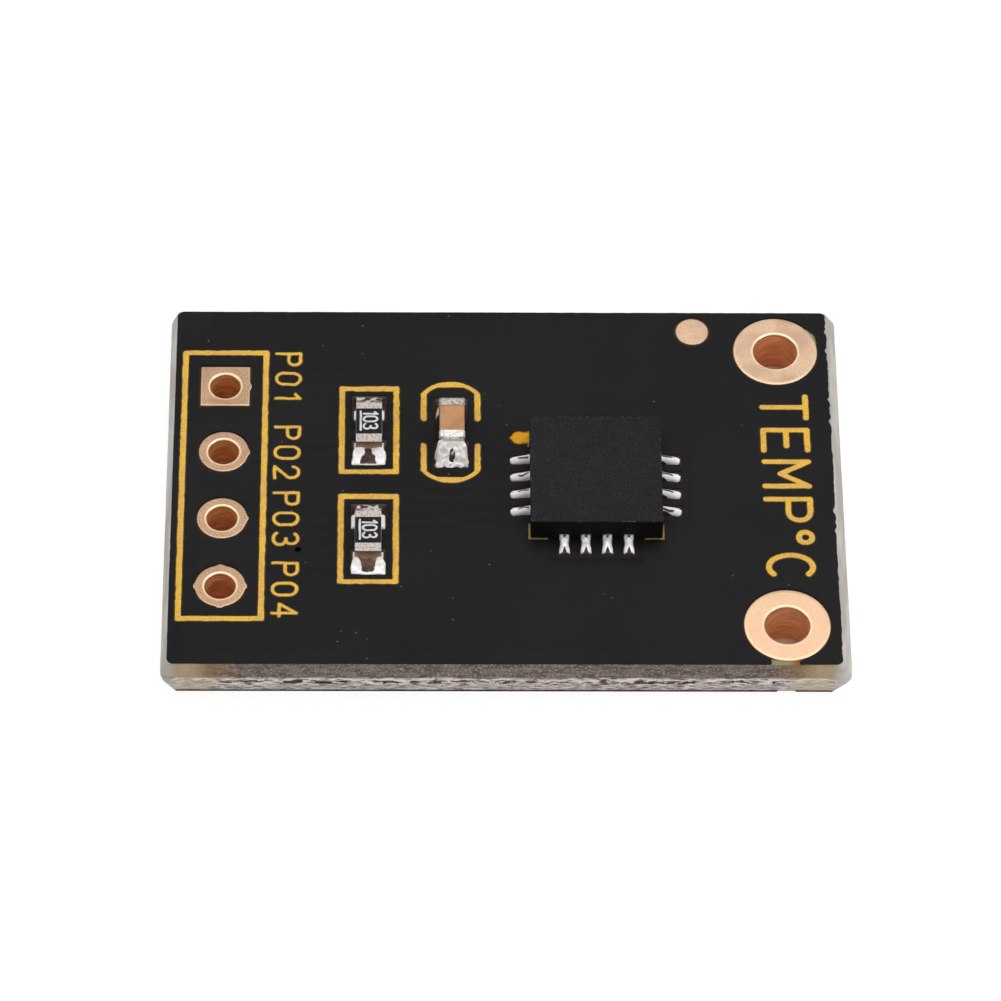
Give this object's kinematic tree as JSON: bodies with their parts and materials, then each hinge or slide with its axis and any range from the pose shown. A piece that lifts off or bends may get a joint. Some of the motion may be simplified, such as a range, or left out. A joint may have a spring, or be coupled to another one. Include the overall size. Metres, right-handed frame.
{
  "type": "temperature sensor module",
  "caption": "Small printed circuit board carrying a square leadless sensor, chip resistors and a chip capacitor, with a bare header row at one end and mounting holes at the other.",
  "frame": {"origin": "middle of the back face", "axes": "+X from the header row to the mounting holes, +Y to the rear edge, +Z out of the front face"},
  "size_m": [0.0207, 0.0138, 0.0025],
  "materials": {
    "laminate": "snapped glass-fibre edge, chalky",
    "front_mask": "black, satin",
    "back_mask": "black, satin",
    "pad_copper": "bare plated pad, dull peach with a fine grain",
    "legend_ink": "printed, matt",
    "solder": "bright, wetted",
    "resistor_ceramic": "matt white",
    "resistor_overcoat": "black, smooth",
    "capacitor_ceramic": "fired, dull tan",
    "end_cap": "tinned, dull",
    "lead_frame": "tinned, dull",
    "sensor_moulding": "moulded, matt"
  },
  "bodies": {
    "root": {"alignment_dot": "pad_copper", "back_solder_mask": "back_mask", "capacitor_ceramic": "capacitor_ceramic", "capacitor_solder_front": "solder", "capacitor_solder_rear": "solder", "capacitor_terminal_front": "end_cap", "capacitor_terminal_rear": "end_cap", "copper_clock": "pad_copper", "copper_data": "pad_copper", "copper_ground": "pad_copper", "copper_supply": "pad_copper", "front_solder_mask": "front_mask", "laminate_core": "laminate", "legend_capacitor_brackets": "legend_ink", "legend_header_frame": "legend_ink", "legend_pin_one_dot": "legend_ink", "legend_resistor_frame_front": "legend_ink", "legend_resistor_frame_rear": "legend_ink", "legend_sensor_corners": "legend_ink", "mounting_eyelet_front": "pad_copper", "mounting_eyelet_rear": "pad_copper", "resistor_front_ceramic": "resistor_ceramic", "resistor_front_overcoat": "resistor_overcoat", "resistor_front_solder_front": "solder", "resistor_front_solder_rear": "solder", "resistor_front_terminal_front": "end_cap", "resistor_front_terminal_rear": "end_cap", "resistor_rear_ceramic": "resistor_ceramic", "resistor_rear_overcoat": "resistor_overcoat", "resistor_rear_solder_front": "solder", "resistor_rear_solder_rear": "solder", "resistor_rear_terminal_front": "end_cap", "resistor_rear_terminal_rear": "end_cap", "sensor_moulding": "sensor_moulding", "sensor_solder_centre": "solder", "sensor_solder_front": "solder", "sensor_solder_left": "solder", "sensor_solder_rear": "solder", "sensor_solder_right": "solder", "sensor_terminal_01": "lead_frame", "sensor_terminal_02": "lead_frame", "sensor_terminal_03": "lead_frame", "sensor_terminal_04": "lead_frame", "sensor_terminal_05": "lead_frame", "sensor_terminal_06": "lead_frame", "sensor_terminal_07": "lead_frame", "sensor_terminal_08": "lead_frame", "sensor_terminal_09": "lead_frame", "sensor_terminal_10": "lead_frame", "sensor_terminal_11": "lead_frame", "sensor_terminal_12": "lead_frame", "sensor_terminal_13": "lead_frame", "sensor_terminal_14": "lead_frame", "sensor_terminal_15": "lead_frame", "sensor_terminal_16": "lead_frame", "sensor_thermal_pad": "lead_frame", "sensor_unused_lands": "pad_copper"}
  },
  "joints": []
}
